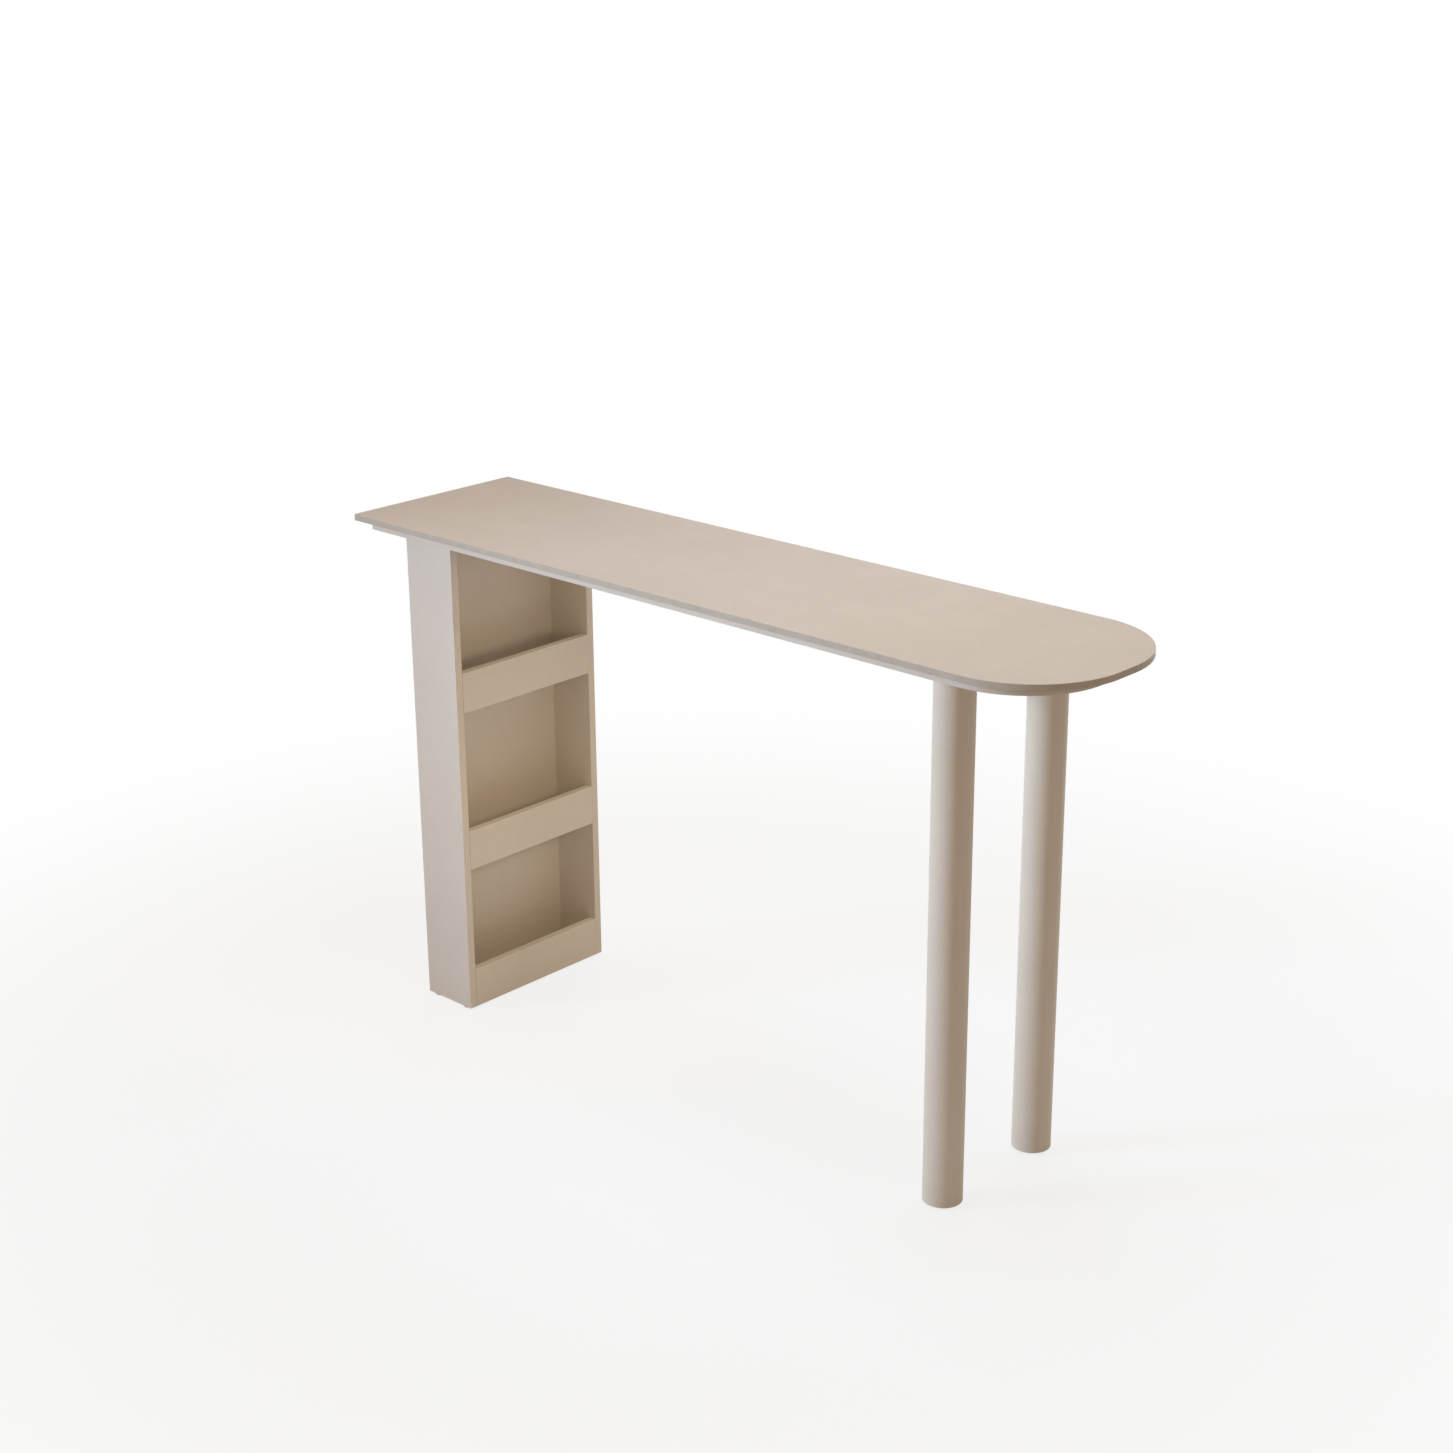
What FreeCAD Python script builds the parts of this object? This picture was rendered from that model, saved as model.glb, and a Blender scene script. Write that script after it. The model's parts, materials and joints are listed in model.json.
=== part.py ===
import FreeCAD
import Part
import math
import os

# Bar table with an open storage pedestal. Millimetres, X along the table towards
# the rounded end, Y across it, Z up. The origin is on the floor under the middle.
# The near side is -Y and the far side is +Y.

# Whole table
top_length = 1650.0
top_width = 400.0
table_height = 980.0
foot_gap = 4.0  # height of the pedestal and the leg tubes above the floor

# Stone slab and the board under it
slab_thickness = 12.0
slab_edge_round = 1.0
slab_square_corner = 5.0  # corner radius at the square end
end_flat = 46.0  # straight stretch at the tip of the rounded end
underlay_thickness = 16.0
underlay_side_reveal = 18.0  # slab overhang along the two long sides
underlay_end_reveal = 31.0  # slab overhang at the two ends
underlay_square_corner = 3.0
band_thickness = 1.0  # edge band
band_round = 0.6

# Storage pedestal
pedestal_end_offset = 133.0  # slab's square end to the pedestal's rear edges
pedestal_depth = 126.0
panel_thickness = 16.0
back_setback = 5.0  # back panel in from the rear edges of the sides
rail_height = 80.0
rail_joint_gap = 0.4  # shadow line at each end of a rail
middle_shelf_rise = 295.0  # underside of the shelf above the pedestal's base
upper_shelf_rise = 620.0

# Cam connectors and dowels
cam_diameter = 15.0
cam_floor = 3.5  # board left under a cam pocket
cam_reach = 24.0  # board edge to cam centre
bolt_thread_diameter = 5.0
bolt_shank_diameter = 6.0
bolt_head_diameter = 7.0
bolt_hole_diameter = 8.0
bolt_cover = 5.0  # board left behind a bolt's tip
dowel_diameter = 8.0
dowel_end_bite = 20.0
dowel_cover = 5.0  # board left behind a dowel's end
cap_diameter = 18.0
cap_thickness = 1.0
fit_clearance = 0.1  # radial, between hardware and its hole

# Where the connectors sit
top_cam_inset = 32.0  # from the front and rear edges of a side
rail_cam_inset = 96.0  # from the inner face of a side
shelf_screw_inset = 56.0  # from the inner face of a side
back_cam_inset = 90.0  # from the top and base of the back panel
rail_dowel_rise = 52.0  # above the rail's lower edge

# Countersunk screws
screw_diameter = 4.5
screw_head_diameter = 9.0
shelf_screw_bite = 24.0
socket_screw_cover = 4.0  # board left above a socket screw's tip

# Pedestal glides
glide_diameter = 14.0
glide_inset = 20.0
glide_nail_diameter = 2.4
glide_nail_length = 14.0

# Column legs
leg_diameter = 70.0
leg_wall = 1.5
leg_side_inset = 55.0  # underlay's long edges to the leg axes
leg_end_offset = 240.0  # slab's rounded end to the leg axes
socket_base = 4.0
socket_wall = 2.5
socket_depth = 30.0
socket_clearance = 0.15
socket_screw_count = 4
socket_screw_margin = 4.0  # screw head to the socket's wall
grub_diameter = 5.0
grub_drop = 17.0  # below the underlay
grub_half_angle = 25.0
grub_sink = 0.3

# Levelling feet
plug_thickness = 12.0
boss_wall = 5.0
boss_height = 20.0
stem_diameter = 10.0
stem_length = 45.0
stem_clearance = 0.15
stem_head_width = 17.0  # across the flats of the hexagon
stem_head_height = 6.0
pad_diameter = 50.0
pad_height = 8.0
pad_edge_chamfer = 1.0
pad_stop_gap = 0.3  # pad to plug when screwed right in

# Positions that follow from the sizes
square_end = -top_length / 2
round_end = top_length / 2
slab_bottom = table_height - slab_thickness
underlay_bottom = slab_bottom - underlay_thickness
side_outer = top_width / 2 - underlay_side_reveal
side_inner = side_outer - panel_thickness
side_middle = side_outer - panel_thickness / 2
pedestal_rear = square_end + pedestal_end_offset
pedestal_front = pedestal_rear + pedestal_depth
back_rear = pedestal_rear + back_setback
back_front = back_rear + panel_thickness
rail_rear = pedestal_front - panel_thickness
shelf_depth = rail_rear - back_front
leg_x = round_end - leg_end_offset
leg_y = side_outer - leg_side_inset
plug_bottom = pad_height + pad_stop_gap
shelf_level = {
    "bottom": foot_gap,
    "middle": foot_gap + middle_shelf_rise,
    "upper": foot_gap + upper_shelf_rise,
}
side_sign = {"near": -1, "far": 1}

UP = FreeCAD.Vector(0, 0, 1)
DOWN = FreeCAD.Vector(0, 0, -1)
FRONT = FreeCAD.Vector(1, 0, 0)
REAR = FreeCAD.Vector(-1, 0, 0)

boards = {}
cutters = {}
pieces = {}


def point(x, y, z):
    return FreeCAD.Vector(x, y, z)


def box(x0, x1, y0, y1, z0, z1):
    return Part.makeBox(x1 - x0, y1 - y0, z1 - z0, point(x0, y0, z0))


def rod(radius, start, direction, length):
    return Part.makeCylinder(radius, length, start, direction)


def add_board(name, blank):
    boards[name] = blank
    cutters[name] = []


def add_piece(name, solid):
    pieces.setdefault(name, []).append(solid)


def d_face(x_square, x_round, half_width, corner, z):
    """Outline with two small corners at one end and two large ones at the other."""
    half_flat = end_flat / 2
    radius = half_width - half_flat
    x_arc = x_round - radius
    slant = math.sqrt(0.5)
    near_arc = Part.Arc(
        point(x_arc, -half_width, z),
        point(x_arc + radius * slant, -half_flat - radius * slant, z),
        point(x_round, -half_flat, z),
    )
    far_arc = Part.Arc(
        point(x_round, half_flat, z),
        point(x_arc + radius * slant, half_flat + radius * slant, z),
        point(x_arc, half_width, z),
    )
    far_corner = Part.Arc(
        point(x_square + corner, half_width, z),
        point(x_square + corner * (1 - slant), half_width - corner * (1 - slant), z),
        point(x_square, half_width - corner, z),
    )
    near_corner = Part.Arc(
        point(x_square, -half_width + corner, z),
        point(x_square + corner * (1 - slant), -half_width + corner * (1 - slant), z),
        point(x_square + corner, -half_width, z),
    )
    edges = [
        Part.makeLine(near_corner.EndPoint, near_arc.StartPoint),
        near_arc.toShape(),
        Part.makeLine(near_arc.EndPoint, far_arc.StartPoint),
        far_arc.toShape(),
        Part.makeLine(far_arc.EndPoint, far_corner.StartPoint),
        far_corner.toShape(),
        Part.makeLine(far_corner.EndPoint, near_corner.StartPoint),
        near_corner.toShape(),
    ]
    return Part.Face(Part.Wire(edges))


def rim_edges(solid, levels):
    """Edges that lie flat at one of the given heights."""
    found = []
    for edge in solid.Edges:
        low = edge.BoundBox.ZMin
        high = edge.BoundBox.ZMax
        for level in levels:
            if abs(low - level) < 1e-6 and abs(high - level) < 1e-6:
                found.append(edge)
    return found


def rounded_plate(x_square, x_round, half_width, corner, z0, z1, edge_round):
    face = d_face(x_square, x_round, half_width, corner, z0)
    plate = face.extrude(point(0, 0, z1 - z0))
    return plate.makeFillet(edge_round, rim_edges(plate, [z0, z1]))


def band_strip(start, outward, across, along, width, length):
    """Edge band laid on a board's edge, with its two outer long edges rounded."""
    slant = band_round * (1 - math.sqrt(0.5))

    def at(out, side):
        return start + outward * out + across * side

    shoulder = band_thickness - band_round
    first_arc = Part.Arc(
        at(shoulder, width),
        at(band_thickness - slant, width - slant),
        at(band_thickness, width - band_round),
    )
    second_arc = Part.Arc(
        at(band_thickness, band_round),
        at(band_thickness - slant, slant),
        at(shoulder, 0),
    )
    edges = [
        Part.makeLine(at(0, 0), at(0, width)),
        Part.makeLine(at(0, width), first_arc.StartPoint),
        first_arc.toShape(),
        Part.makeLine(first_arc.EndPoint, second_arc.StartPoint),
        second_arc.toShape(),
        Part.makeLine(second_arc.EndPoint, at(0, 0)),
    ]
    return Part.Face(Part.Wire(edges)).extrude(along * length)


def cam_joint(group, house, mate, mate_thickness, seat, along, mouth, capped):
    """Cam disc in one board pulls on a bolt that is screwed into the face of another.

    seat is on the mate's face, along points from it to the cam, and mouth points
    from the bolt to the face of the house where the cam drops in.
    """
    centre = seat + along * cam_reach
    surface = centre + mouth * (panel_thickness / 2)
    depth = panel_thickness - cam_floor
    radius = cam_diameter / 2
    bite = mate_thickness - bolt_cover
    head_start = cam_reach - bolt_head_diameter / 2
    head_end = cam_reach + bolt_head_diameter / 2
    pocket = rod(radius + fit_clearance, surface, mouth * -1, depth + fit_clearance)
    edge_hole = rod(bolt_hole_diameter / 2, seat, along, cam_reach)
    cutters[house].append(pocket)
    cutters[house].append(edge_hole)
    thread_hole = rod(bolt_thread_diameter / 2 + fit_clearance, seat, along * -1, bite + fit_clearance)
    cutters[mate].append(thread_hole)

    thread = rod(bolt_thread_diameter / 2, seat - along * bite, along, bite)
    shank = rod(bolt_shank_diameter / 2, seat, along, head_start)
    head = rod(bolt_head_diameter / 2, seat + along * head_start, along, head_end - head_start)
    add_piece(group + "_cam_bolts", thread.fuse([shank, head]).removeSplitter())

    disc = rod(radius, surface - mouth * depth, mouth, depth - fit_clearance)
    throat = rod(bolt_head_diameter / 2 + fit_clearance, seat, along, head_end + fit_clearance)
    slot_width = radius / 5
    slot_deep = rod(radius / 2, surface - mouth * (fit_clearance + slot_width), mouth, slot_width)
    across = along.cross(mouth)
    slot_bar = Part.makeBox(radius, slot_width, slot_width)
    slot_bar.translate(point(-radius / 2, -slot_width / 2, -slot_width))
    frame = FreeCAD.Matrix()
    frame.setCol(0, along)
    frame.setCol(1, across)
    frame.setCol(2, mouth)
    slot_bar.transformShape(frame)
    slot_bar.translate(surface - mouth * fit_clearance)
    slot = slot_bar.common(slot_deep)
    add_piece(group + "_cam_discs", disc.cut([throat, slot]))
    if capped:
        cap = rod(cap_diameter / 2, surface, mouth, cap_thickness)
        add_piece("cam_cover_caps", cap)


def dowel_joint(group, house, mate, mate_thickness, seat, along):
    """Wooden dowel from the face of one board into the edge of another."""
    bite = mate_thickness - dowel_cover
    hole = dowel_diameter / 2 + fit_clearance
    cutters[mate].append(rod(hole, seat, along * -1, bite + fit_clearance))
    cutters[house].append(rod(hole, seat, along, dowel_end_bite + fit_clearance))
    dowel = rod(dowel_diameter / 2, seat - along * bite, along, bite + dowel_end_bite)
    add_piece(group + "_dowels", dowel)


def screw_solid(start, direction, length, spare):
    """Countersunk screw with its flat head at start, or the hole for it."""
    shank = screw_diameter / 2 + spare
    head = screw_head_diameter / 2 + spare
    sink = head - shank
    cone = Part.makeCone(head, shank, sink, start, direction)
    body = rod(shank, start, direction, length + spare)
    return cone.fuse(body).removeSplitter()


def build_top():
    x_left = square_end + underlay_end_reveal
    x_right = round_end - underlay_end_reveal
    slab = rounded_plate(
        square_end, round_end, top_width / 2, slab_square_corner, slab_bottom, table_height, slab_edge_round
    )
    add_board("stone_slab", slab)
    rim = rounded_plate(
        x_left, x_right, side_outer, underlay_square_corner, underlay_bottom, slab_bottom, band_round
    )
    core_face = d_face(
        x_left + band_thickness,
        x_right - band_thickness,
        side_outer - band_thickness,
        underlay_square_corner - band_thickness,
        underlay_bottom,
    )
    core = core_face.extrude(point(0, 0, underlay_thickness))
    add_board("underlay_board", core)
    add_piece("underlay_edge_band", rim.cut(core))


def build_pedestal():
    for hand, sign in side_sign.items():
        y0, y1 = sorted([sign * side_inner, sign * side_outer])
        x0 = pedestal_rear + band_thickness
        x1 = pedestal_front - band_thickness
        core = box(x0, x1, y0, y1, foot_gap, underlay_bottom)
        add_board(hand + "_side", core)
        height = underlay_bottom - foot_gap
        across = point(0, 1, 0)
        front_edge = point(x1, y0, foot_gap)
        rear_edge = point(x0, y0, foot_gap)
        add_piece("side_edge_bands", band_strip(front_edge, FRONT, across, UP, panel_thickness, height))
        add_piece("side_edge_bands", band_strip(rear_edge, REAR, across, UP, panel_thickness, height))
    back = box(back_rear, back_front, -side_inner, side_inner, foot_gap, underlay_bottom)
    add_board("back_panel", back)
    rail_end = side_inner - rail_joint_gap
    for name, level in shelf_level.items():
        shelf = box(back_front, rail_rear, -side_inner, side_inner, level, level + panel_thickness)
        add_board(name + "_shelf", shelf)
        low = level
        if name != "bottom":
            low = level + band_thickness
            start = point(rail_rear, -rail_end, low)
            strip = band_strip(start, DOWN, FRONT, point(0, 1, 0), panel_thickness, 2 * rail_end)
            add_piece("rail_edge_bands", strip)
        high = level + rail_height - band_thickness
        start = point(rail_rear, -rail_end, high)
        strip = band_strip(start, UP, FRONT, point(0, 1, 0), panel_thickness, 2 * rail_end)
        add_piece("rail_edge_bands", strip)
        rail = box(rail_rear, pedestal_front, -rail_end, rail_end, low, high)
        add_board(name + "_rail", rail)


def join_sides_to_top():
    for hand, sign in side_sign.items():
        side = hand + "_side"
        inward = point(0, -sign, 0)
        y = sign * side_middle
        for x in (pedestal_rear + top_cam_inset, pedestal_front - top_cam_inset):
            seat = point(x, y, underlay_bottom)
            cam_joint("top", side, "underlay_board", underlay_thickness, seat, DOWN, inward, True)
        seat = point((pedestal_rear + pedestal_front) / 2, y, underlay_bottom)
        dowel_joint("top", side, "underlay_board", underlay_thickness, seat, DOWN)


def join_shelves_and_rails():
    back_x = (back_rear + back_front) / 2
    rail_x = (rail_rear + pedestal_front) / 2
    for name, level in shelf_level.items():
        shelf = name + "_shelf"
        rail = name + "_rail"
        middle = level + panel_thickness / 2
        for hand, sign in side_sign.items():
            side = hand + "_side"
            inward = point(0, -sign, 0)
            cam_seat = point(back_front + shelf_depth / 3, sign * side_inner, middle)
            cam_joint("shelf", shelf, side, panel_thickness, cam_seat, inward, DOWN, False)
            dowel_seat = point(back_front + shelf_depth * 3 / 4, sign * side_inner, middle)
            dowel_joint("shelf", shelf, side, panel_thickness, dowel_seat, inward)
            rail_seat = point(rail_rear, sign * (side_inner - rail_cam_inset), middle)
            cam_joint("rail", shelf, rail, panel_thickness, rail_seat, REAR, DOWN, False)
            rail_dowel_seat = point(rail_x, sign * side_inner, level + rail_dowel_rise)
            dowel_joint("rail", rail, side, panel_thickness, rail_dowel_seat, inward)
            screw_start = point(back_rear, sign * (side_inner - shelf_screw_inset), middle)
            length = panel_thickness + shelf_screw_bite
            hole = screw_solid(screw_start, FRONT, length, fit_clearance)
            cutters["back_panel"].append(hole)
            cutters[shelf].append(hole)
            add_piece("shelf_screws", screw_solid(screw_start, FRONT, length, 0))
    heights = (
        foot_gap + back_cam_inset,
        (foot_gap + underlay_bottom) / 2,
        underlay_bottom - back_cam_inset,
    )
    for hand, sign in side_sign.items():
        for height in heights:
            seat = point(back_x, sign * side_inner, height)
            inward = point(0, -sign, 0)
            cam_joint("back", "back_panel", hand + "_side", panel_thickness, seat, inward, REAR, True)


def build_glides():
    for hand, sign in side_sign.items():
        y = sign * side_middle
        for x in (pedestal_rear + glide_inset, pedestal_front - glide_inset):
            disc = rod(glide_diameter / 2, point(x, y, 0), UP, foot_gap)
            disc = disc.makeChamfer(foot_gap / 5, rim_edges(disc, [0]))
            nail_start = point(x, y, foot_gap)
            nail = rod(glide_nail_diameter / 2, nail_start, UP, glide_nail_length)
            hole = rod(
                glide_nail_diameter / 2 + fit_clearance, nail_start, UP, glide_nail_length + fit_clearance
            )
            cutters[hand + "_side"].append(hole)
            add_piece("pedestal_glides", disc.fuse(nail))


def hexagon(width, x, y, z, height):
    radius = width / math.sqrt(3)
    corners = []
    for index in range(7):
        angle = math.radians(60 * index)
        corners.append(point(x + radius * math.cos(angle), y + radius * math.sin(angle), z))
    return Part.Face(Part.makePolygon(corners)).extrude(point(0, 0, height))


def build_leg(hand):
    x = leg_x
    y = side_sign[hand] * leg_y
    outer = leg_diameter / 2
    inner = outer - leg_wall
    tube_height = underlay_bottom - foot_gap
    base = point(x, y, foot_gap)
    tube = rod(outer, base, UP, tube_height).cut(rod(inner, base, UP, tube_height))
    add_board(hand + "_leg_tube", tube)

    top = point(x, y, underlay_bottom)
    skirt_outer = inner - socket_clearance
    skirt_inner = skirt_outer - socket_wall
    cup = rod(skirt_outer, top, DOWN, socket_depth)
    hollow = rod(skirt_inner, point(x, y, underlay_bottom - socket_base), DOWN, socket_depth)
    add_board(hand + "_leg_socket", cup.cut(hollow))

    circle = skirt_inner - screw_head_diameter / 2 - socket_screw_margin
    length = socket_base + underlay_thickness - socket_screw_cover
    for index in range(socket_screw_count):
        angle = 2 * math.pi * (index + 0.5) / socket_screw_count
        start = point(
            x + circle * math.cos(angle), y + circle * math.sin(angle), underlay_bottom - socket_base
        )
        hole = screw_solid(start, UP, length, fit_clearance)
        cutters[hand + "_leg_socket"].append(hole)
        cutters["underlay_board"].append(hole)
        add_piece("socket_screws", screw_solid(start, UP, length, 0))

    for sign in (-1, 1):
        angle = math.pi + sign * math.radians(grub_half_angle)
        inward = point(-math.cos(angle), -math.sin(angle), 0)
        middle = point(x, y, underlay_bottom - grub_drop)
        start = middle - inward * (outer - grub_sink)
        length = outer - grub_sink - skirt_inner
        hole = rod(grub_diameter / 2 + fit_clearance, middle - inward * outer, inward, outer)
        cutters[hand + "_leg_tube"].append(hole)
        cutters[hand + "_leg_socket"].append(hole)
        add_piece("leg_grub_screws", rod(grub_diameter / 2, start, inward, length))


def build_foot(hand):
    x = leg_x
    y = side_sign[hand] * leg_y
    inner = leg_diameter / 2 - leg_wall
    plug_base = point(x, y, plug_bottom)
    plug = rod(inner - fit_clearance, plug_base, UP, plug_thickness)
    boss = rod(stem_diameter / 2 + boss_wall, plug_base, UP, plug_thickness + boss_height)
    bore = rod(stem_diameter / 2 + stem_clearance, plug_base, UP, plug_thickness + boss_height)
    add_board(hand + "_leg_plug", plug.fuse(boss).removeSplitter().cut(bore))

    pad = rod(pad_diameter / 2, point(x, y, 0), UP, pad_height)
    pad = pad.makeChamfer(pad_edge_chamfer, rim_edges(pad, [0, pad_height]))
    head_bottom = pad_height - stem_head_height
    pocket = hexagon(stem_head_width + 2 * fit_clearance, x, y, head_bottom, stem_head_height)
    add_board(hand + "_foot_pad", pad.cut(pocket))
    head = hexagon(stem_head_width, x, y, head_bottom, stem_head_height)
    stem = rod(stem_diameter / 2, point(x, y, pad_height), UP, stem_length)
    add_board(hand + "_foot_stem", head.fuse(stem))


def write_step(name, solids):
    shape = Part.makeCompound(solids)
    if len(solids) == 1:
        shape = solids[0]
    shape.exportStep("parts/" + name + ".step")


build_top()
build_pedestal()
join_sides_to_top()
join_shelves_and_rails()
build_glides()
for hand_name in side_sign:
    build_leg(hand_name)
    build_foot(hand_name)

os.makedirs("parts", exist_ok=True)
for board_name, blank in boards.items():
    cut_shape = blank
    if cutters[board_name]:
        cut_shape = blank.cut(cutters[board_name])
    write_step(board_name, cut_shape.Solids)
for piece_name, solid_list in pieces.items():
    flat_list = []
    for solid_shape in solid_list:
        flat_list.extend(solid_shape.Solids)
    write_step(piece_name, flat_list)
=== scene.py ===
import bmesh
import bpy
import json
import math
from mathutils import Matrix, Vector


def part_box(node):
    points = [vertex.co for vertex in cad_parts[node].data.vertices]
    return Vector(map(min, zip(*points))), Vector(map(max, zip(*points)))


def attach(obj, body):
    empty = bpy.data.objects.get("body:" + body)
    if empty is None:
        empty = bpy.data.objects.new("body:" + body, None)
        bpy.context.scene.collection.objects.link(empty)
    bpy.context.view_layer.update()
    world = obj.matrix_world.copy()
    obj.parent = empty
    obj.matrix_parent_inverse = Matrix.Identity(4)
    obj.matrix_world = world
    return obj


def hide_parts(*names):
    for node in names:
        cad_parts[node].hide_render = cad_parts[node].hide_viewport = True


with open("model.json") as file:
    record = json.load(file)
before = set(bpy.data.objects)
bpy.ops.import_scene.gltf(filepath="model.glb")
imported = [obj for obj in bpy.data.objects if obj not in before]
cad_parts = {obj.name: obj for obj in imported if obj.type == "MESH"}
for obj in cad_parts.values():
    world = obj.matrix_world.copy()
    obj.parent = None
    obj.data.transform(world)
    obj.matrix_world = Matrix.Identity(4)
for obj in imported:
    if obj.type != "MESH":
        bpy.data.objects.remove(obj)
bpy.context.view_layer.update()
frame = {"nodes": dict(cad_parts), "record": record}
nodes = frame["nodes"]

# Metres and degrees throughout. X runs along the table to its rounded end, the near side is -Y.

# Camera, found from the table's edges in the photograph
camera_place = Vector((2.87287, -3.10243, 2.19718))
camera_azimuth = 43.117
camera_elevation = 19.635
camera_roll = -0.44
camera_lens = 61.53  # millimetres, as the sensor is
sensor_width = 36.0

# Countersunk screws of the back panel
screw_shank_radius = 0.00225
screw_rim_land = 0.0003  # straight rim of the head
screw_tip = 0.006
screw_tip_share = 0.15  # radius at the very tip, as a share of the shank's
recess_depth = 0.0022
recess_arm = 0.0024
recess_width = 0.0010
recess_arm_share = 0.5  # at the recess's bottom, as a share of its mouth
recess_width_share = 0.6

# Cover caps of the cams
cap_lip = 0.0008
cap_lip_steps = 4
cap_dome = 0.0003
cap_crown = [(0.82, -0.5), (0.76, -0.25), (0.40, 0.7), (0.10, 1.0)]  # shares of radius and of dome

# Set screws of the legs
grub_bevel_share = 0.12  # of the radius
grub_sink = 0.0003  # outer end below the tube's skin
grub_socket_depth = 0.0022
grub_socket_width = 0.0025  # across the flats
grub_socket_share = 0.96  # width at the socket's bottom, as a share of its mouth

# Stems of the levelling feet
stem_radius = 0.005
stem_head_bevel = 0.0006
thread_pitch = 0.0015
thread_depth = 0.0008
valley_gain = 1.35  # over 1, so that the thread's valleys have flat bottoms
thread_rows = 8  # in one pitch
thread_columns = 28

# Meshes
round_steps = 40
hexagon_steps = 6
sharp_angle = 35
weld_distance = 1e-6
sort_digits = 5

# Floor and the light all round
floor_half = 30.0
floor_grey = (0.82, 0.82, 0.81, 1.0)
floor_glow = 0.80  # share of plain white that the camera sees on the floor beside the table
glow_start = 0.9
glow_end = 2.4
plain_white = (1.0, 1.0, 1.0, 1.0)
ambient_tint = (1.0, 0.75, 0.55, 1.0)
ambient_level = 0.405

# Lamps
table_middle = Vector((0, 0, 0.5))
full_spread = 180
daylight_tint = (0.61, 0.763, 1.0)
overhead_tint = (0.775, 0.897, 1.0)
shelf_tint = (1.0, 0.82, 0.60)
mouth_tint = (1.0, 0.9, 0.75)
rear_tint = (0.80, 0.92, 1.0)

# Most values of a noise lie within the first reach, and mottled colours change over the second
noise_low = 0.3
noise_high = 0.7
mottle_low = 0.35
mottle_high = 0.65


def colour(red, green, blue):
    """Linear colour from an 8-bit screen colour, by the sRGB curve."""
    channels = []
    for level in (red, green, blue):
        share = level / 255
        if share <= 0.04045:
            channels.append(share / 12.92)
        else:
            channels.append(((share + 0.055) / 1.055) ** 2.4)
    return (*channels, 1.0)


# Colours of the finishes
stone_light = colour(210, 195, 178)
stone_shade = colour(205, 189, 172)
stone_edge_light = colour(189, 179, 164)
stone_edge_shade = colour(183, 172, 157)
board_light = colour(213, 204, 191)
board_shade = colour(209, 199, 186)
band_light = colour(213, 203, 189)
band_shade = colour(208, 198, 184)
# Edge band of the rails, paler than the other bands: partly a paler band, partly painted light on the
# rail tops, which the lamps reach too little
painted_lit_rail_band_light = colour(230, 221, 208)
painted_lit_rail_band_shade = colour(225, 215, 201)
coat_light = colour(218, 208, 192)
coat_shade = colour(214, 203, 187)
chip_light = colour(196, 168, 126)
chip_shade = colour(128, 98, 66)
zinc_light = colour(188, 188, 184)
zinc_shade = colour(150, 150, 148)
steel_light = colour(205, 204, 200)
steel_shade = colour(168, 168, 166)
beech_light = colour(214, 180, 138)
beech_shade = colour(176, 136, 94)
cap_light = colour(214, 206, 194)
cap_shade = colour(206, 197, 184)
nylon_light = colour(128, 125, 120)
nylon_shade = colour(118, 115, 110)
glide_light = colour(206, 198, 186)
glide_shade = colour(198, 190, 178)


def set_range(node, start, end, low, high):
    """Sets a Map Range node to take start..end to low..high."""
    node.inputs["From Min"].default_value = start
    node.inputs["From Max"].default_value = end
    node.inputs["To Min"].default_value = low
    node.inputs["To Max"].default_value = high


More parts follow.
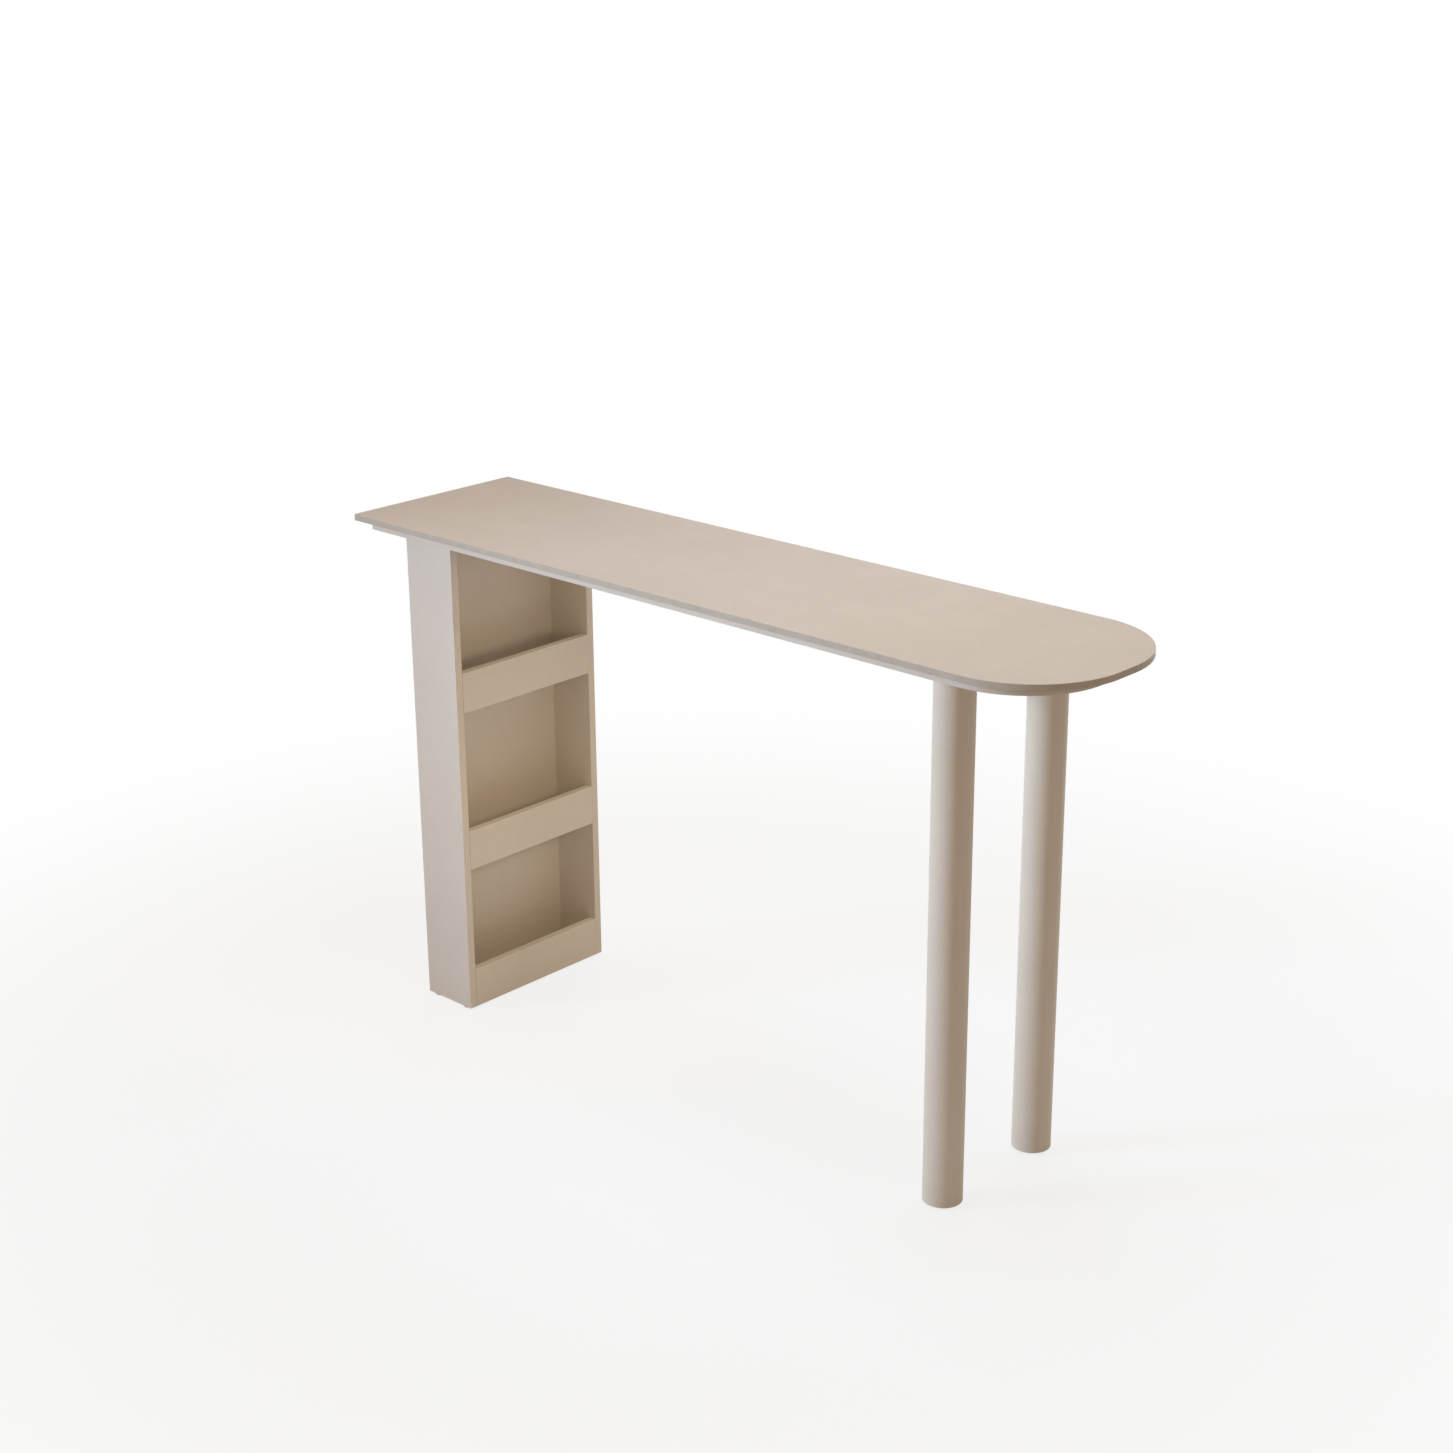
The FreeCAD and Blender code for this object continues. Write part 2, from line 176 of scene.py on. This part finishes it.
class Finish:
    """A material made of nodes: one Principled shader and what feeds it."""

    def __init__(self, name, specular=0.5, metallic=0.0):
        self.material = bpy.data.materials.new(name)
        self.material.use_nodes = True
        self.tree = self.material.node_tree
        self.tree.nodes.clear()
        self.shader = self.add("BsdfPrincipled")
        self.shader.inputs["Specular IOR Level"].default_value = specular
        self.shader.inputs["Metallic"].default_value = metallic
        output = self.add("OutputMaterial")
        self.join(self.shader.outputs["BSDF"], output.inputs["Surface"])
        self.place = self.add("TexCoord").outputs["Object"]

    def add(self, kind):
        return self.tree.nodes.new("ShaderNode" + kind)

    def join(self, source, target):
        self.tree.links.new(source, target)

    def stretched(self, x, y, z):
        """The place on the surface, squeezed along the axes so that a pattern grows along them."""
        node = self.add("Mapping")
        node.inputs["Scale"].default_value = (1 / x, 1 / y, 1 / z)
        self.join(self.place, node.inputs["Vector"])
        return node.outputs["Vector"]

    def noise(self, size, detail, place=None):
        """Soft noise whose blots are about size across."""
        node = self.add("TexNoise")
        node.inputs["Scale"].default_value = 1 / size
        node.inputs["Detail"].default_value = detail
        self.join(place or self.place, node.inputs["Vector"])
        return node.outputs["Fac"]

    def cells(self, size):
        """Distance from the nearest of scattered points, which lie about size apart."""
        node = self.add("TexVoronoi")
        node.inputs["Scale"].default_value = 1 / size
        self.join(self.place, node.inputs["Vector"])
        return node.outputs["Distance"]

    def spread(self, source, low, high, start=noise_low, end=noise_high):
        """Maps start..end of a value to low..high, held at both ends."""
        node = self.add("MapRange")
        set_range(node, start, end, low, high)
        self.join(source, node.inputs["Value"])
        return node.outputs["Result"]

    def mottle(self, source, first, second, start=mottle_low, end=mottle_high):
        """Goes from the first colour to the second as the value goes from start to end."""
        node = self.add("ValToRGB")
        node.color_ramp.elements[0].position = start
        node.color_ramp.elements[0].color = first
        node.color_ramp.elements[1].position = end
        node.color_ramp.elements[1].color = second
        self.join(source, node.inputs["Fac"])
        return node.outputs["Color"]

    def blend(self, source, first, second):
        """Mixes two colour outputs by a value output."""
        node = self.add("Mix")
        node.data_type = "RGBA"
        self.join(source, node.inputs["Factor"])
        self.join(first, node.inputs["A"])
        self.join(second, node.inputs["B"])
        return node.outputs["Result"]

    def shade(self, tone, source, low, high, start=noise_low, end=noise_high):
        """Darkens or lightens a colour by a pattern, from low to high times."""
        node = self.add("VectorMath")
        node.operation = "SCALE"
        self.join(tone, node.inputs["Vector"])
        self.join(self.spread(source, low, high, start, end), node.inputs["Scale"])
        return node.outputs["Vector"]

    def normal_part(self, axis):
        """One part of the surface's normal, from -1 to 1."""
        node = self.add("SeparateXYZ")
        self.join(self.add("NewGeometry").outputs["Normal"], node.inputs["Vector"])
        return node.outputs[axis]

    def bump(self, source, height, strength):
        """Relief of the given height from a pattern."""
        node = self.add("Bump")
        node.inputs["Distance"].default_value = height
        node.inputs["Strength"].default_value = strength
        self.join(source, node.inputs["Height"])
        return node.outputs["Normal"]

    def done(self, tone, roughness, normal):
        """Feeds the shader and hands over the material."""
        self.join(tone, self.shader.inputs["Base Color"])
        self.join(roughness, self.shader.inputs["Roughness"])
        self.join(normal, self.shader.inputs["Normal"])
        return self.material


def stone_finish():
    """Matte beige stone: wide faint clouds, fine grain, few flecks, and a darker cut edge."""
    finish = Finish("slab_stone_finish", specular=0.35)
    grain = finish.noise(size=0.0015, detail=3)
    face = finish.mottle(finish.noise(size=0.32, detail=5), stone_shade, stone_light)
    face = finish.shade(face, finish.noise(size=0.05, detail=4), low=0.985, high=1.015)
    face = finish.shade(face, grain, low=0.96, high=1.04)
    face = finish.shade(face, finish.cells(size=0.011), low=0.90, high=1.0, start=0.05, end=0.11)
    edge = finish.mottle(finish.noise(size=0.02, detail=4), stone_edge_shade, stone_edge_light)
    edge = finish.shade(edge, grain, low=0.95, high=1.05)
    upward = finish.spread(finish.normal_part("Z"), low=0, high=1, start=0.35, end=0.85)
    tone = finish.blend(upward, edge, face)
    roughness = finish.spread(finish.noise(size=0.006, detail=3), low=0.46, high=0.56)
    return finish.done(tone, roughness, finish.bump(grain, height=0.00004, strength=0.35))


def pebbled(finish, tone, pebble_size, height, smooth, rough):
    """A fine pebbled skin over a colour, with roughness from smooth to rough."""
    patch_size = pebble_size * 3
    pebble = finish.noise(pebble_size, detail=1)
    tone = finish.shade(tone, finish.noise(size=0.018, detail=4), low=0.988, high=1.012)
    tone = finish.shade(tone, pebble, low=0.985, high=1.015)
    roughness = finish.spread(finish.noise(patch_size, detail=3), smooth, rough)
    return finish.done(tone, roughness, finish.bump(pebble, height, strength=0.4))


def board_finish(name, raw_edge=False):
    """Cream melamine with a pebbled press grain; a raw edge shows bare chips where it faces down."""
    finish = Finish(name, specular=0.35)
    tone = finish.mottle(finish.noise(size=0.25, detail=4), board_shade, board_light)
    if raw_edge:
        chips = finish.mottle(finish.noise(size=0.0025, detail=4), chip_shade, chip_light)
        downward = finish.spread(finish.normal_part("Z"), low=1, high=0, start=-0.9, end=-0.8)
        tone = finish.blend(downward, tone, chips)
    return pebbled(finish, tone, pebble_size=0.0011, height=0.00005, smooth=0.50, rough=0.60)


def band_finish(name, shade, light):
    """Plastic edge band, a shade smoother than the board."""
    finish = Finish(name, specular=0.4)
    tone = finish.mottle(finish.noise(size=0.12, detail=4), shade, light)
    return pebbled(finish, tone, pebble_size=0.0008, height=0.00003, smooth=0.44, rough=0.54)


def coat_finish():
    """Powder coat on the legs, with its orange peel."""
    finish = Finish("powder_coat_finish", specular=0.4)
    tone = finish.mottle(finish.noise(size=0.2, detail=4), coat_shade, coat_light)
    return pebbled(finish, tone, pebble_size=0.0016, height=0.00008, smooth=0.48, rough=0.58)


def metal_finish(name, shade, light, grain_size, smooth, rough):
    """Bare metal with a fine grain."""
    finish = Finish(name, metallic=1.0)
    patch_size = grain_size * 4
    grain = finish.noise(grain_size, detail=4)
    tone = finish.mottle(grain, shade, light, start=noise_low, end=noise_high)
    roughness = finish.spread(finish.noise(patch_size, detail=3), smooth, rough)
    return finish.done(tone, roughness, finish.bump(grain, height=0.00004, strength=0.4))


def beech_finish():
    """Pale wood with short dark flecks along the grain."""
    finish = Finish("beech_finish", specular=0.3)
    fleck = finish.noise(size=0.0009, detail=3, place=finish.stretched(x=4, y=4, z=1))
    tone = finish.mottle(fleck, beech_shade, beech_light, end=0.62)
    tone = finish.shade(tone, finish.noise(size=0.004, detail=2), low=0.94, high=1.06)
    roughness = finish.spread(fleck, low=0.7, high=0.55)
    return finish.done(tone, roughness, finish.bump(fleck, height=0.00006, strength=0.5))


def plastic_finish(name, shade, light, smooth, rough):
    """Moulded plastic with a fine grain."""
    finish = Finish(name, specular=0.45)
    tone = finish.mottle(finish.noise(size=0.006, detail=3), shade, light)
    return pebbled(finish, tone, pebble_size=0.0006, height=0.00003, smooth=smooth, rough=rough)


finishes = {
    "slab_stone": stone_finish(),
    "laminate_board": board_finish("laminate_finish"),
    "edge_band": band_finish("edge_band_finish", band_shade, band_light),
    "leg_coating": coat_finish(),
    "zinc_alloy": metal_finish(
        "zinc_finish", zinc_shade, zinc_light, grain_size=0.0010, smooth=0.40, rough=0.55
    ),
    "plated_steel": metal_finish(
        "plated_steel_finish", steel_shade, steel_light, grain_size=0.0007, smooth=0.22, rough=0.38
    ),
    "dowel_beech": beech_finish(),
    "cap_plastic": plastic_finish(
        "cap_plastic_finish", cap_shade, cap_light, smooth=0.38, rough=0.48
    ),
    "glide_plastic": plastic_finish(
        "glide_plastic_finish", nylon_shade, nylon_light, smooth=0.45, rough=0.60
    ),
}
raw_edge_finish = board_finish("raw_edge_laminate_finish", raw_edge=True)
own_finishes = {
    "near_side": raw_edge_finish,
    "far_side": raw_edge_finish,
    "back_panel": raw_edge_finish,
    # paler rail band: partly painted light on the rail tops
    "rail_edge_bands": band_finish("rail_band_painted_light_finish", painted_lit_rail_band_shade, painted_lit_rail_band_light),
    "pedestal_glides": plastic_finish(
        "pale_glide_finish", glide_shade, glide_light, smooth=0.45, rough=0.60
    ),
}


def dress_nodes():
    """Every CAD node gets the finish of its slot in the record, or its own."""
    for subpart in frame["record"]["subparts"]:
        node = nodes[subpart["node"]]
        finish = own_finishes.get(subpart["node"], finishes[subpart["material_slot"]])
        node.data.materials.clear()
        node.data.materials.append(finish)


def solids_of(node):
    """(lowest corner, highest corner) of each separate solid in a CAD node."""
    mesh = bmesh.new()
    mesh.from_mesh(nodes[node].data)
    bmesh.ops.remove_doubles(mesh, verts=mesh.verts, dist=weld_distance)
    left = set(mesh.verts)
    found = []
    while left:
        group = [left.pop()]
        for vertex in group:
            for edge in vertex.link_edges:
                other = edge.other_vert(vertex)
                if other in left:
                    left.remove(other)
                    group.append(other)
        low = Vector([min(v.co[axis] for v in group) for axis in range(3)])
        high = Vector([max(v.co[axis] for v in group) for axis in range(3)])
        found.append((low, high))
    mesh.free()
    return sorted(found, key=lambda corners: tuple(round(value, sort_digits) for value in corners[0]))


def ring(mesh, radius, height, steps=round_steps):
    """A closed loop of points round the Z axis."""
    loop = []
    for index in range(steps):
        angle = 2 * math.pi * index / steps
        loop.append(mesh.verts.new((radius * math.cos(angle), radius * math.sin(angle), height)))
    return loop


def loft(mesh, lower, upper):
    """A band of quads between two loops that have the same number of points."""
    count = len(lower)
    for index in range(count):
        after = (index + 1) % count
        mesh.faces.new((lower[index], lower[after], upper[after], upper[index]))


def loft_all(mesh, loops):
    """One skin through a stack of loops."""
    for lower, upper in zip(loops, loops[1:]):
        loft(mesh, lower, upper)


def revolve(mesh, profile):
    """Stacked rings of (radius, height), joined into one skin; returns the rings."""
    rings = []
    for radius, height in profile:
        rings.append(ring(mesh, radius, height))
    loft_all(mesh, rings)
    return rings


def cross_loop(mesh, arm, width, height):
    """The twelve corners of a cross, in order round the Z axis."""
    half = width / 2
    quarter = [(arm, -half), (arm, half), (half, half)]
    loop = []
    for turn in range(4):
        cosine = round(math.cos(turn * math.pi / 2))
        sine = round(math.sin(turn * math.pi / 2))
        for x, y in quarter:
            loop.append(mesh.verts.new((x * cosine - y * sine, x * sine + y * cosine, height)))
    return loop


def loop_edges(mesh, loop):
    """The edges along a closed loop of points, made where there are none."""
    edges = []
    for start, end in zip(loop, loop[1:] + loop[:1]):
        edges.append(mesh.edges.get((start, end)) or mesh.edges.new((start, end)))
    return edges


def fill_between(mesh, rim, mouth):
    """A flat face from an outer loop to an inner one."""
    edges = loop_edges(mesh, rim) + loop_edges(mesh, mouth)
    bmesh.ops.triangle_fill(mesh, use_beauty=True, edges=edges)


def recessed_face(mesh, rim, mouth, bottom):
    """Closes a rim with a flat face that has a recess, from its mouth loop to its bottom loop."""
    fill_between(mesh, rim, mouth)
    loft(mesh, mouth, bottom)
    mesh.faces.new(bottom)


def axis_frame(place, axis):
    """Places a mesh made along Z at a point, with its Z along the given axis."""
    turn = Vector((0, 0, 1)).rotation_difference(axis).to_matrix().to_4x4()
    return Matrix.Translation(place) @ turn


def add_piece(name, mesh, body, slot, *replaced):
    """Turns a finished mesh into a piece of the object that stands for CAD nodes."""
    bmesh.ops.recalc_face_normals(mesh, faces=mesh.faces)
    data = bpy.data.meshes.new(name)
    mesh.to_mesh(data)
    mesh.free()
    data.shade_smooth()
    data.set_sharp_from_angle(angle=math.radians(sharp_angle))
    data.materials.append(finishes[slot])
    piece = bpy.data.objects.new(name, data)
    bpy.context.scene.collection.objects.link(piece)
    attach(piece, body)
    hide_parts(*replaced)


def merge(target, part, place):
    """Adds a small mesh to a larger one, moved by a matrix."""
    bmesh.ops.transform(part, matrix=place, verts=part.verts)
    data = bpy.data.meshes.new("part")
    part.to_mesh(data)
    part.free()
    target.from_mesh(data)
    bpy.data.meshes.remove(data)


def screw_mesh(head_radius, length):
    """Countersunk screw pointing along +Z, its cross recess in the face at the origin."""
    mesh = bmesh.new()
    neck = screw_rim_land + head_radius - screw_shank_radius
    profile = [
        (head_radius, 0),
        (head_radius, screw_rim_land),
        (screw_shank_radius, neck),
        (screw_shank_radius, length - screw_tip),
        (screw_shank_radius * screw_tip_share, length),
    ]
    rings = revolve(mesh, profile)
    mesh.faces.new(rings[-1])
    mouth = cross_loop(mesh, recess_arm, recess_width, 0)
    bottom = cross_loop(
        mesh, recess_arm * recess_arm_share, recess_width * recess_width_share, recess_depth
    )
    recessed_face(mesh, rings[0], mouth, bottom)
    return mesh


def build_shelf_screws():
    """Countersunk screws through the back panel into the shelves, heads to the rear."""
    whole = bmesh.new()
    for low, high in solids_of("shelf_screws"):
        middle = (low + high) / 2
        head_radius = (high.y - low.y) / 2
        place = axis_frame(Vector((low.x, middle.y, middle.z)), Vector((1, 0, 0)))
        merge(whole, screw_mesh(head_radius, high.x - low.x), place)
    add_piece("shelf_screws_recessed", whole, "table", "plated_steel", "shelf_screws")


def cap_mesh(radius, height):
    """Push-in cover cap with a rounded lip and a low dome."""
    mesh = bmesh.new()
    profile = [(radius, 0), (radius, height - cap_lip)]
    for index in range(1, cap_lip_steps + 1):
        angle = index / cap_lip_steps * math.pi / 2
        lip_radius = radius - cap_lip * (1 - math.cos(angle))
        lip_height = height - cap_lip * (1 - math.sin(angle))
        profile.append((lip_radius, lip_height))
    for radius_share, dome_share in cap_crown:
        profile.append((radius * radius_share, height + cap_dome * dome_share))
    rings = revolve(mesh, profile)
    mesh.faces.new(rings[0])
    mesh.faces.new(rings[-1])
    return mesh


def build_cover_caps():
    """Caps over the cams, on the rear of the back panel and inside the sides."""
    whole = bmesh.new()
    for low, high in solids_of("cam_cover_caps"):
        middle = (low + high) / 2
        size = high - low
        if size.x < size.y:
            seat = Vector((high.x, middle.y, middle.z))
            outward = Vector((-1, 0, 0))
            height = size.x
        else:
            inward = -math.copysign(1, middle.y)
            seat_y = low.y if inward > 0 else high.y
            seat = Vector((middle.x, seat_y, middle.z))
            outward = Vector((0, inward, 0))
            height = size.y
        merge(whole, cap_mesh(size.z / 2, height), axis_frame(seat, outward))
    add_piece("cam_cover_caps_domed", whole, "table", "cap_plastic", "cam_cover_caps")


def grub_mesh(radius, length):
    """Set screw pointing along +Z, its hexagon socket in the face at the origin."""
    mesh = bmesh.new()
    bevel = radius * grub_bevel_share
    profile = [
        (radius - bevel, 0),
        (radius, bevel),
        (radius, length - bevel),
        (radius - bevel, length),
    ]
    rings = revolve(mesh, profile)
    mesh.faces.new(rings[-1])
    corner = grub_socket_width / math.sqrt(3)
    mouth = ring(mesh, corner, 0, hexagon_steps)
    bottom = ring(mesh, corner * grub_socket_share, grub_socket_depth, hexagon_steps)
    recessed_face(mesh, rings[0], mouth, bottom)
    return mesh


def build_grub_screws():
    """Set screws that lock the leg tubes to their sockets, on the side towards the pedestal."""
    whole = bmesh.new()
    legs = []
    for tube in ("near_leg_tube", "far_leg_tube"):
        low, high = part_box(tube)
        legs.append(((low + high) / 2, (high.x - low.x) / 2))
    for low, high in solids_of("leg_grub_screws"):
        middle = (low + high) / 2
        axis, tube_radius = min(legs, key=lambda leg: abs(leg[0].y - middle.y))
        inward = Vector((axis.x - middle.x, axis.y - middle.y, 0))
        outer_end = tube_radius - grub_sink
        length = 2 * (outer_end - inward.length)
        inward.normalize()
        place = Vector((axis.x, axis.y, middle.z)) - inward * outer_end
        merge(whole, grub_mesh((high.z - low.z) / 2, length), axis_frame(place, inward))
    add_piece("leg_grub_screws_socketed", whole, "table", "plated_steel", "leg_grub_screws")


def thread_radius(angle, height, top):
    """Radius of a stem's right-hand thread at an angle and height, tapered at its upper end."""
    phase = (height / thread_pitch - angle / (2 * math.pi)) % 1.0
    valley = min(1.0, valley_gain * (1 - abs(2 * phase - 1)))
    taper = max(0.0, 1 - (top - height) / thread_pitch)
    return stem_radius - thread_depth * max(valley, taper)


def stem_mesh(head_corner, head_bottom, shoulder, top):
    """Levelling screw along Z: hexagon head below, thread above."""
    mesh = bmesh.new()
    rows = round((top - shoulder) / thread_pitch * thread_rows)
    loops = []
    for row in range(rows + 1):
        height = shoulder + (top - shoulder) * row / rows
        loop = []
        for column in range(thread_columns):
            angle = 2 * math.pi * column / thread_columns
            reach = thread_radius(angle, height, top)
            loop.append(mesh.verts.new((reach * math.cos(angle), reach * math.sin(angle), height)))
        loops.append(loop)
    loft_all(mesh, loops)
    mesh.faces.new(loops[-1])
    hexagons = [
        ring(mesh, head_corner - stem_head_bevel, head_bottom, hexagon_steps),
        ring(mesh, head_corner, head_bottom + stem_head_bevel, hexagon_steps),
        ring(mesh, head_corner, shoulder, hexagon_steps),
    ]
    loft_all(mesh, hexagons)
    mesh.faces.new(hexagons[0])
    fill_between(mesh, hexagons[-1], loops[0])
    return mesh


def build_foot_stems():
    """Threaded stems of the levelling feet."""
    for hand in ("near", "far"):
        low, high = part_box(hand + "_foot_stem")
        pad_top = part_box(hand + "_foot_pad")[1].z
        middle = (low + high) / 2
        head_corner = (high.x - low.x) / 2
        mesh = stem_mesh(head_corner, low.z, pad_top, high.z)
        bmesh.ops.translate(mesh, vec=(middle.x, middle.y, 0), verts=mesh.verts)
        add_piece(
            hand + "_foot_stem_threaded", mesh, hand + "_foot", "plated_steel", hand + "_foot_stem"
        )


def seen_ray(tree):
    """1 for rays whose background shows: from the camera, in a reflection or through glass."""
    path = tree.nodes.new("ShaderNodeLightPath")
    total = path.outputs["Is Camera Ray"]
    for name in ("Is Glossy Ray", "Is Transmission Ray"):
        node = tree.nodes.new("ShaderNodeMath")
        node.operation = "MAXIMUM"
        tree.links.new(total, node.inputs[0])
        tree.links.new(path.outputs[name], node.inputs[1])
        total = node.outputs["Value"]
    return total


def mix_shaders(tree, share, first, second, output_kind):
    """Feeds the tree's output with two shaders, mixed by a share of the second."""
    mix = tree.nodes.new("ShaderNodeMixShader")
    output = tree.nodes.new(output_kind)
    tree.links.new(share, mix.inputs["Fac"])
    tree.links.new(first, mix.inputs[1])
    tree.links.new(second, mix.inputs[2])
    tree.links.new(mix.outputs["Shader"], output.inputs["Surface"])


def floor_material():
    """Pale floor that takes the table's shadow and fades to white away from it."""
    material = bpy.data.materials.new("floor_finish")
    material.use_nodes = True
    tree = material.node_tree
    tree.nodes.clear()
    place = tree.nodes.new("ShaderNodeTexCoord").outputs["Object"]
    distance = tree.nodes.new("ShaderNodeVectorMath")
    distance.operation = "LENGTH"
    tree.links.new(place, distance.inputs["Vector"])
    fade = tree.nodes.new("ShaderNodeMapRange")
    fade.interpolation_type = "SMOOTHSTEP"
    set_range(fade, glow_start, glow_end, floor_glow, 1.0)
    tree.links.new(distance.outputs["Value"], fade.inputs["Value"])
    share = tree.nodes.new("ShaderNodeMath")
    share.operation = "MULTIPLY"
    tree.links.new(fade.outputs["Result"], share.inputs[0])
    tree.links.new(seen_ray(tree), share.inputs[1])
    matte = tree.nodes.new("ShaderNodeBsdfDiffuse")
    matte.inputs["Color"].default_value = floor_grey
    white = tree.nodes.new("ShaderNodeEmission")
    white.inputs["Color"].default_value = plain_white
    mix_shaders(
        tree,
        share.outputs["Value"],
        matte.outputs["BSDF"],
        white.outputs["Emission"],
        "ShaderNodeOutputMaterial",
    )
    return material


def build_floor():
    """Flat floor at the table's feet, wide enough to reach past every view."""
    data = bpy.data.meshes.new("floor")
    corners = [(x * floor_half, y * floor_half, 0) for x, y in ((-1, -1), (1, -1), (1, 1), (-1, 1))]
    data.from_pydata(corners, [], [(0, 1, 2, 3)])
    data.materials.append(floor_material())
    floor = bpy.data.objects.new("floor", data)
    bpy.context.scene.collection.objects.link(floor)


def build_world():
    """White to look at, and a low even light on the object."""
    world = bpy.data.worlds.new("studio")
    bpy.context.scene.world = world
    world.use_nodes = True
    tree = world.node_tree
    tree.nodes.clear()
    light = tree.nodes.new("ShaderNodeBackground")
    light.inputs["Color"].default_value = ambient_tint
    light.inputs["Strength"].default_value = ambient_level
    white = tree.nodes.new("ShaderNodeBackground")
    white.inputs["Color"].default_value = plain_white
    mix_shaders(
        tree,
        seen_ray(tree),
        light.outputs["Background"],
        white.outputs["Background"],
        "ShaderNodeOutputWorld",
    )


def softbox(name, place, aim, width, height, level, tint, spread=full_spread, shine=True):
    """Soft lamp; at level 1 a white card at its aim, facing it, renders about white.

    A smaller spread gathers the same light into a narrower beam.
    Without shine the lamp makes no highlights.
    """
    lamp = bpy.data.lights.new(name, "AREA")
    lamp.shape = "RECTANGLE"
    lamp.size = width
    lamp.size_y = height
    lamp.spread = math.radians(spread)
    lamp.color = tint
    half = lamp.spread / 2
    gathering = 1.0 if spread == full_spread else math.tan(half) / (math.tan(half) - half)
    ray = Vector(aim) - Vector(place)
    lamp.energy = level * (math.pi * ray.length) ** 2 / gathering
    holder = bpy.data.objects.new(name, lamp)
    holder.location = place
    holder.rotation_euler = ray.to_track_quat("-Z", "Y").to_euler()
    holder.visible_camera = False
    holder.visible_glossy = shine
    bpy.context.scene.collection.objects.link(holder)


def around(centre, bearing, elevation, distance):
    """A place seen from a centre at a bearing from +X and an elevation."""
    turn = math.radians(bearing)
    rise = math.radians(elevation)
    level = math.cos(rise)
    outward = Vector((math.cos(turn) * level, math.sin(turn) * level, math.sin(rise)))
    return centre + outward * distance


def build_lights():
    """Daylight from the left, a lamp overhead, warm fills under the top and weak lamps behind."""
    softbox(
        "left_softbox",
        place=around(table_middle, bearing=-128, elevation=16, distance=6.0),
        aim=(0.1, -0.2, 0.9),
        width=1.6,
        height=1.6,
        level=1.775,
        tint=daylight_tint,
        spread=30,
        shine=False,
    )
    softbox(
        "top_softbox",
        place=(0.35, 0.1, 3.3),
        aim=(0.35, 0, 0.98),
        width=1.2,
        height=1.0,
        level=0.645,
        tint=overhead_tint,
        spread=100,
    )
    softbox(
        "shelf_softbox",
        place=(0.4, -0.4, 0.86),
        aim=(-0.6, 0.0, 0.32),
        width=0.5,
        height=0.2,
        level=0.30,
        tint=shelf_tint,
        spread=70,
    )
    softbox(
        "mouth_softbox",
        place=(-0.42, 0, 0.94),
        aim=(-0.42, 0, 0.72),
        width=0.08,
        height=0.3,
        level=0.25,
        tint=mouth_tint,
        shine=False,
    )
    softbox(
        "back_softbox",
        place=(-2.4, 3.2, 0.75),
        aim=table_middle,
        width=2.2,
        height=0.9,
        level=0.42,
        tint=rear_tint,
    )
    softbox(
        "far_softbox",
        place=(0.0, 4.0, 0.7),
        aim=table_middle,
        width=1.6,
        height=0.9,
        level=0.25,
        tint=rear_tint,
    )


def aim_camera():
    """Camera at the photograph's place; azimuth 0 looks along +Y."""
    azimuth = math.radians(camera_azimuth)
    elevation = math.radians(camera_elevation)
    right = Vector((math.cos(azimuth), math.sin(azimuth), 0))
    back = Vector(
        (
            math.sin(azimuth) * math.cos(elevation),
            -math.cos(azimuth) * math.cos(elevation),
            math.sin(elevation),
        )
    )
    turn = Matrix((right, back.cross(right), back)).transposed()
    turn = turn @ Matrix.Rotation(math.radians(camera_roll), 3, "Z")
    data = bpy.data.cameras.new("camera")
    data.lens = camera_lens
    data.sensor_width = sensor_width
    camera = bpy.data.objects.new("camera", data)
    camera.matrix_world = Matrix.Translation(camera_place) @ turn.to_4x4()
    bpy.context.scene.collection.objects.link(camera)
    bpy.context.scene.camera = camera


dress_nodes()
build_shelf_screws()
build_cover_caps()
build_grub_screws()
build_foot_stems()
build_floor()
build_world()
build_lights()
aim_camera()
bpy.context.scene.view_settings.view_transform = "Standard"
